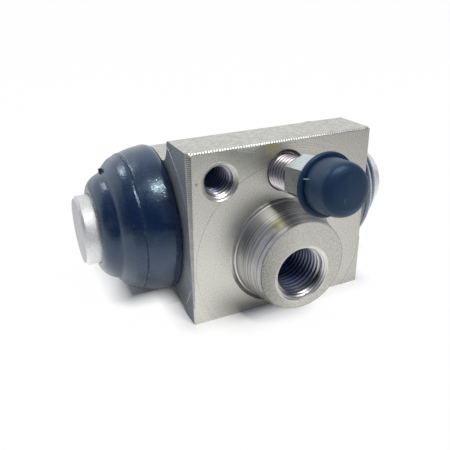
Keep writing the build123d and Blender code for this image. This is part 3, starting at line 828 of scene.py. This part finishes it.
def spring_half(side, sign, reach):
    """Half of the spring, wound from the middle of the bore to one expander."""
    steps_per_turn, wire_steps, wire, coil, pitch = 24, 8, 0.55, 4.9, 2.3
    count = int(reach / pitch * steps_per_turn)
    rings = []
    for k in range(count + 1):
        angle = 2 * pi * k / steps_per_turn * sign
        u = sign * (k / count) * (reach - wire)
        out = Vector((0, cos(angle), sin(angle)))
        centre = Vector((u, BORE_Y, BORE_Z)) + out * coil
        ring = []
        for j in range(wire_steps):
            a = 2 * pi * j / wire_steps
            ring.append((centre + out * wire * cos(a) + Vector((wire * sin(a), 0, 0))) * MM)
        rings.append(ring)
    half = tube(f"spring_{side}", rings, SPRING, 60)
    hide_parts("return_spring")
    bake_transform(half)


spring_half("left", -1, SPRING_REACH)
spring_half("right", 1, SPRING_REACH - RIGHT_SET_IN)


# Turned skin of the spigot: a bright foot, a smooth band and torn grooves towards the face
def spigot_skin():
    chance = random.Random(5)

    def cone(u):
        return SPIGOT_BASE - (SPIGOT_BASE - SPIGOT_FACE) * u / SPIGOT_HEIGHT

    outline = [(-0.5, 9.9), (-0.5, SPIGOT_BASE + 0.04), (0.3, SPIGOT_BASE - 0.02)]
    u = 0.6
    while u < 2.6:
        outline.append((u, cone(u) + 0.02 + 0.008 * chance.random()))
        u += 0.4
    while u < SPIGOT_HEIGHT - 0.5:
        width = chance.uniform(0.2, 0.55)
        stand = chance.uniform(0.02, 0.11)
        outline.append((u, cone(u) + stand))
        outline.append((u + width - 0.07, cone(u + width) + stand * chance.uniform(0.6, 1.0)))
        u += width
    outline += [
        (SPIGOT_HEIGHT - 0.16, cone(7.3) + 0.05), (SPIGOT_HEIGHT - 0.03, cone(SPIGOT_HEIGHT) + 0.01),
        (SPIGOT_HEIGHT - 0.03, SPIGOT_FACE - 0.3),
    ]

    def torn(u, r, angle):
        """Little waves in the grooves, and a ragged edge round the face."""
        if u < 0.4 or r < SPIGOT_FACE:
            return 0.0, 0.0
        if u > SPIGOT_HEIGHT - 0.3:
            edge = Vector((cos(angle) * 14, sin(angle) * 14, 3.0))
            return 0.0, 0.05 * noise.noise(edge) + 0.01
        rough = 0.03 * noise.noise(Vector((cos(angle) * 1.3, sin(angle) * 1.3, u * 3.5)))
        return 0.0, max(-0.02, rough if u > 3.2 else rough * 0.15)

    piece = turned("spigot_skin", SPIGOT, outline, SPIGOT_SKIN, 288, True, 22, torn)
    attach(piece, "housing")
    foot = [(u, SPIGOT_BASE + out) for u, out in (
        (-0.3, -0.1), (-0.3, 0.07), (-0.07, 0.19), (0.1, 0.24), (0.24, 0.17), (0.35, 0.03), (0.35, -0.2),
    )]
    ring = turned("spigot_foot", SPIGOT, foot, HOLE_MOUTH, 192, True, 60)
    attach(ring, "housing")


spigot_skin()


# Threads inside the port and the fixing hole, cut off by their cone-shaped mouths
def hole_thread(name, axis, start, end, root, crest, mouth, face, material):
    """A hole's thread and mouth; mouth is the radius of the mouth where it meets the face."""
    flank_steps = 10
    section = [(-0.5, root)]
    for first, low, high in ((-0.44, root, crest), (0.08, crest, root)):
        for k in range(flank_steps + 1):
            section.append((first + 0.36 * k / flank_steps, low + (high - low) * k / flank_steps))
    section.append((0.5, root))

    def limit(u, r):
        return max(r, mouth - 0.03 - (u - face))

    piece = thread_ridge(name, axis, start, end, section, limit, material)
    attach(piece, "housing")
    outline = [(face + u, mouth + out) for u, out in (
        (0.01, 0.13), (-0.015, 0.11), (-0.02, 0.03), (0.02, -0.05), (0.3, -0.345), (0.66, -0.72),
        (0.74, -0.7), (0.8, root - mouth), (0.3, root - mouth), (0.08, -0.02),
    )]

    def lathed(u, r, angle):
        return 0.0, 0.012 * noise.noise(Vector((cos(angle) * 3, sin(angle) * 3, u * 6)))

    ring = turned(f"{name}_mouth", axis, outline, HOLE_MOUTH, 160, True, 35, lathed)
    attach(ring, "housing")


hole_thread("port_thread", PORT, -6.86, 2.9, 5.02, 4.46, 5.5, -SPIGOT_HEIGHT, PORT_THREAD)
hole_thread("fixing_thread", FIXING, 0.54, 8.5, 3.02, 2.46, 3.5, 0.0, FIXING_THREAD)


# Rows of cutter marks on the top front edge and down the left front corner
def beaded_edge():
    """Fills the bevel along the top front edge: flat at the front and top, with a row of beads between."""
    made = bmesh.new()
    beads = (BEAD_END - BEAD_START) / BEAD_PITCH
    along = int(beads * 12)
    chance = random.Random(11)
    sizes = [chance.uniform(0.7, 1.0) for k in range(int(beads) + 3)]
    proud = 0.003
    rows = []
    for k in range(along + 1):
        phase = beads * k / along
        x = BEAD_START + BEAD_PITCH * phase
        stand = BEAD_HEIGHT * sizes[int(phase)] * sin(pi * (phase % 1.0)) ** 1.1 - 0.03
        section = [(-proud, -TOP_BEVEL), (-proud, -BEAD_DROP)]
        for j in range(1, 6):
            share = j / 6
            bulge = DIAGONAL * stand * sin(pi * share) ** 0.7
            section.append((-proud + BEAD_BACK * share - bulge, -BEAD_DROP * (1 - share) + proud + bulge))
        section += [(BEAD_BACK, proud), (TOP_BEVEL, proud)]
        rows.append([Vector((x, y, PLATE_TOP + z)) * MM for y, z in section])
    # Across the strip, the sides 1 to 6 are the beads
    for number, face in enumerate(skin(made, rows)):
        face.material_index = 1 if 1 <= number % len(section) <= 6 else 0
    strip = finished("top_edge_marks", made, HOUSING, 30)
    strip.data.materials.append(MARKS)
    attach(strip, "housing")


def corner_ticks():
    """A strip over the bevel of the left front corner, crossed by a row of shallow tool marks."""
    low, high = PLATE_BOTTOM + 3.65, PLATE_TOP - 0.75
    ticks = (high - low) / TICK_PITCH
    along, across = int(ticks * 12), 6
    outward = Vector((-DIAGONAL, -DIAGONAL, 0))
    rows = []
    for k in range(along + 1):
        share = k / along
        z = low + (high - low) * share
        width = 0.2 + 0.65 * (z - PLATE_BOTTOM) / (PLATE_TOP - PLATE_BOTTOM)
        mark = (0.01 + 0.04 * share) * abs(sin(pi * share * ticks)) ** 0.5
        row = []
        for j in range(across + 1):
            side = j / across
            bulge = 0.012 * min(1, side * 8, (1 - side) * 8) + mark * sin(pi * side) ** 0.7
            flat = Vector((width * (1 - side) - HALF_LENGTH, width * side, z))
            row.append((flat + outward * bulge) * MM)
        rows.append(row)
    strip = tube("corner_marks", rows, CORNER_MARKS, 60)
    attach(strip, "housing")


beaded_edge()
corner_ticks()


# Thin burr left round the facing cut on each end
def facing_burr(side, sign):
    """Raised edge along the facing circle, kept inside the outline of the plate's front part."""
    steps, fade_steps = 48, 5
    for number, (first, last) in enumerate(((24.5, 61.0), (-41.5, -25.0))):
        rings = []
        for k in range(steps + 1):
            a = radians(first + (last - first) * k / steps)
            thick = 0.06 * min(1, (k + 1) / fade_steps, (steps + 1 - k) / fade_steps)
            ring = []
            for stand, across in ((0.2, 0), (0.14, -thick), (0.1, 0), (0.14, thick)):
                r = BURR_RADIUS + across
                corner = Vector((sign * (END_FACE + stand), BORE_Y - r * cos(a), BORE_Z + r * sin(a)))
                ring.append(corner * MM)
            rings.append(ring)
        burr = tube(f"facing_burr_{side}_{number}", rings, BURR, 50)
        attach(burr, "housing")


facing_burr("left", -1)
facing_burr("right", 1)

# Bleed screw: stem and nipple, thread, and hexagon
NIPPLE_END = HEX_END + 5.6
SCREW_OUTLINE = (
    (-9.9, 0), (-9.9, 0.75), (-8.05, 2.8), (-7.0, 2.8), (-7.0, 2.9), (5.5, 2.9), (5.7, 2.75),
    (HEX_START, 2.75), (HEX_START, 3.0), (HEX_END, 3.0), (HEX_END, 2.6), (HEX_END + 0.4, 2.2),
    (HEX_END + 2.2, 2.2), (HEX_END + 3.0, 2.85), (HEX_END + 3.6, 2.85), (NIPPLE_END, 1.9),
    (NIPPLE_END, 0.9), (-6.6, 0.9), (-6.6, 0),
)
SCREW_RIDGE = (
    (-0.49, 2.87), (-0.4, 2.93), (-0.16, 3.36), (-0.1, 3.41),
    (0.1, 3.41), (0.16, 3.36), (0.4, 2.93), (0.49, 2.87),
)
screw_stem = turned("screw_stem", BLEED, SCREW_OUTLINE, STEEL, 96)
screw_thread = thread_ridge(
    "screw_thread", BLEED, -6.8, 5.75, SCREW_RIDGE, lambda u, r: r, SCREW_THREAD,
)


def hexagon_piece():
    """The screw's hexagon: a prism whose corners are turned down at both ends."""
    across, bevel, turn = 3.5, 0.3, radians(23.7)
    corner = across / cos(radians(30))
    ends = (HEX_START - 0.4, HEX_END + 0.4)
    rings = [[BLEED.at(u, corner, turn + k * pi / 3) for k in range(6)] for u in ends]
    piece = tube("screw_hexagon", rings, STEEL)
    outline = (
        (HEX_START, 0), (HEX_START, across - 0.05), (HEX_START + bevel, corner + 0.05),
        (HEX_END - bevel, corner + 0.05), (HEX_END, across - 0.05), (HEX_END, 0),
    )
    cutter = turned("hexagon_cutter", BLEED, outline, STEEL, 144)
    cut = piece.modifiers.new("bevels", "BOOLEAN")
    cut.operation, cut.solver, cut.object = "INTERSECT", "EXACT", cutter
    bpy.context.view_layer.update()
    shaped = bpy.data.meshes.new_from_object(piece.evaluated_get(bpy.context.evaluated_depsgraph_get()))
    piece.modifiers.clear()
    piece.data = shaped
    shaped.shade_smooth()
    shaped.set_sharp_from_angle(angle=radians(20))
    bpy.data.objects.remove(cutter)
    return piece


screw_hexagon = hexagon_piece()
for piece in (screw_stem, screw_thread, screw_hexagon):
    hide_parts("bleed_screw")
    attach(piece, "bleed_screw")

# Bleed cap
CAP_OUTLINE = (
    (0.0, 2.9), (0.0, 4.75), (0.06, 4.98), (0.2, 5.2), (0.38, 5.33), (0.58, 5.38), (0.78, 5.35),
    (0.92, 5.24), (1.0, 5.08), (1.0, 4.5), (0.95, 4.3), (1.0, 4.18), (1.15, 4.15), (1.28, 4.3),
    (1.38, 4.46), (1.55, 4.51), (3.0, 4.46), (4.4, 4.39), (5.0, 4.34), (5.38, 4.27), (5.7, 4.17),
    (5.95, 4.03), (6.17, 3.83), (6.34, 3.58), (6.46, 3.33), (6.55, 3.1), (6.62, 2.93),
    (CAP_LENGTH, 2.82), (CAP_LENGTH, 0), (5.85, 0), (5.85, 2.3), (5.25, 2.9), (0.0, 2.9),
)


def squeezed(u, r, angle):
    """The cap's flange is pressed in a little on its upper left."""
    if r < 4.6 or u > CAP_MOUTH + 1.2:
        return 0.0, 0.0
    return 0.0, -0.24 * max(0.0, cos(angle - radians(128))) ** 2


placed_outline = [(CAP_MOUTH + u, r) for u, r in CAP_OUTLINE]
cap = turned("cap", BLEED, placed_outline, CAP, 128, False, 60, squeezed)
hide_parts("bleed_cap")
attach(cap, "bleed_cap")

# A short flash line of pale rubber between the cap's flange and its body: (u, radius, half width)
FLASH_LINE = ((0.96, 4.62, 0.03), (1.1, 4.66, 0.1), (1.7, 4.6, 0.09), (2.2, 4.55, 0.08), (2.45, 4.46, 0.02))
rings = []
for k, (u, r, width) in enumerate(FLASH_LINE):
    section = ((-0.12, -width), (0.03, -width * 0.7), (0.03, width * 0.7), (-0.12, width))
    turn = radians(160 - k)
    rings.append([BLEED.at(CAP_MOUTH + u, r + up, turn + side / r) for up, side in section])
cap_flash = tube("cap_flash", rings, FLASH)
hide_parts("bleed_cap")
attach(cap_flash, "bleed_cap")

# Table, light and camera
TABLE_HALF = 6000


def table_material():
    """White table that glows towards the camera and in reflections, less so where the shadow falls; in
    reflections it also holds painted shade.
    """
    material, bench, surface, place = new_finish("table", 0.0, 0.8, Specular_IOR_Level=0.1)[:4]
    surface.inputs["Base Color"].default_value = (0.92, 0.92, 0.92, 1)
    path = bench.put("LightPath").outputs
    mirrored = bench.larger(path["Is Glossy Ray"], path["Is Transmission Ray"])
    seen = bench.larger(path["Is Camera Ray"], mirrored)
    x, y = bench.parts(place)[:2]

    def clear_of(centre, half, front, rear, reach, curve=1.0):
        """0 inside a box on the table and 1 from so many millimetres outside it."""
        sideways = bench.less(bench.size(bench.less(x, centre)), half)
        ahead = bench.larger(bench.less(front, y), bench.less(y, rear))
        off = bench.length(bench.larger(sideways, 0.0), bench.larger(ahead, 0.0), 0.0)
        return bench.sum("POWER", bench.spread(off, 0.0, reach, 0.0, 1.0), curve)

    # How much the table glows: less round the plate, the boots and the plate's left foot
    share = bench.times(
        clear_of(0.0, 17.8, 1.0, 30.0, 4.5, 0.8), clear_of(0.0, 26.0, 15.5, 31.0, 5.5, 0.8),
        clear_of(-4.5, 5.0, -0.5, 6.0, 7.0, 0.6),
    )
    share = bench.spread(share, 0, 1, 0.03, 0.985)

    # How much darker the table is in reflections: lighter close by and darker far off, where the room round
    # the real part was darker, with painted shade under the boots, under the spigot and to the front left,
    # and painted light behind on the right
    far = bench.length(x, y, 0.0)
    dim = bench.sum("ADD", bench.spread(far, 20, 95, -0.15, 0.15), bench.spread(far, 110, 260, 0.0, 0.4))
    back_right = bench.times(bench.step(x, 20, 42), bench.step(y, 8, 26))
    under_boots = bench.rest(clear_of(0.0, 25.0, 9.0, 31.0, 9.0))
    front_left = bench.times(bench.step(bench.add(x, (y, 0.45)), -18, -27), bench.step(y, -10, -42))
    under_spigot = bench.rest(clear_of(-4.0, 5.5, -3.5, 5.0, 5.5))
    dim = bench.add(dim, (back_right, -0.35), (under_boots, 0.7), (front_left, 0.5), (under_spigot, 0.9))
    glow = bench.put("Emission", (1, 1, 1, 1), bench.rest(bench.times(dim, mirrored)))
    mix = bench.put("MixShader", bench.times(seen, share), surface.outputs[0], glow.outputs[0])
    bench.join(material.node_tree.nodes["Material Output"].inputs["Surface"], mix.outputs[0])
    return material


made = bmesh.new()
corners = []
for x, y in ((-1, -1), (1, -1), (1, 1), (-1, 1)):
    corners.append(made.verts.new(Vector((x * TABLE_HALF, y * TABLE_HALF, FLOOR_Z)) * MM))
made.faces.new(corners)
table = finished("table", made, table_material())


def make_studio():
    """Room round the table: white behind and above it, dim on the side that the picture is taken from."""
    world = bpy.data.worlds.new("studio")
    bpy.context.scene.world = world
    world.use_nodes = True
    bench = Bench(world.node_tree)
    air = world.node_tree.nodes["Background"]
    y, z = bench.parts(bench.put("TexCoord").outputs["Generated"])[1:]
    bright = bench.larger(bench.step(y, -0.05, 0.5), bench.times(bench.step(z, 0.6, 0.98), 0.35))
    bench.join(air.inputs["Color"], bench.mix(bright, (0.03, 0.045, 0.085, 1), (0.95, 0.965, 1.0, 1)))
    air.inputs["Strength"].default_value = 1.0
    white = bench.put("Background", (1, 1, 1, 1), 1.0)
    path = bench.put("LightPath").outputs
    mix = bench.put("MixShader", path["Is Camera Ray"], air.outputs[0], white.outputs[0])
    bench.join(world.node_tree.nodes["World Output"].inputs["Surface"], mix.outputs[0])


make_studio()


def softbox(name, place, target, size, power, colour=(1, 1, 1)):
    lamp = bpy.data.lights.new(name, "AREA")
    lamp.color = colour
    lamp.shape = "RECTANGLE"
    lamp.size, lamp.size_y = size[0] * MM, size[1] * MM
    lamp.energy = power
    holder = bpy.data.objects.new(name, lamp)
    bpy.context.scene.collection.objects.link(holder)
    holder.location = Vector(place) * MM
    aim = Vector(target) * MM - holder.location
    holder.rotation_euler = aim.to_track_quat("-Z", "Y").to_euler()


softbox("front softbox", (-21, -150, 402), (0, 5, 0), (26, 26), 0.48, (1.0, 0.96, 0.88))
softbox("back softbox", (-165, 215, 350), (0, 5, 5), (80, 80), 0.2)
softbox("right softbox", (96, -225, 350), (0, 0, 0), (100, 150), 0.75)

# Camera fitted to the photograph: place, heading, fall and a slight roll
CAMERA_PLACE = (-46.54, -76.81, 46.32)
HEADING, FALL, ROLL = radians(24.3096), radians(24.6335), radians(-1.238)
forward = Vector((sin(HEADING) * cos(FALL), cos(HEADING) * cos(FALL), -sin(FALL)))
level_right = Vector((cos(HEADING), -sin(HEADING), 0))
level_up = level_right.cross(forward)
right = level_right * cos(ROLL) + level_up * sin(ROLL)
up = level_up * cos(ROLL) - level_right * sin(ROLL)
lens = bpy.data.cameras.new("camera")
lens.sensor_fit = "HORIZONTAL"
lens.sensor_width = 36.0
lens.lens = 41.817
lens.clip_start = 0.005
lens.clip_end = 30.0
camera = bpy.data.objects.new("camera", lens)
bpy.context.scene.collection.objects.link(camera)
turn = Matrix((right, up, -forward)).transposed().to_4x4()
camera.matrix_world = Matrix.Translation(Vector(CAMERA_PLACE) * MM) @ turn
bpy.context.scene.camera = camera
bpy.context.scene.view_settings.view_transform = "Standard"
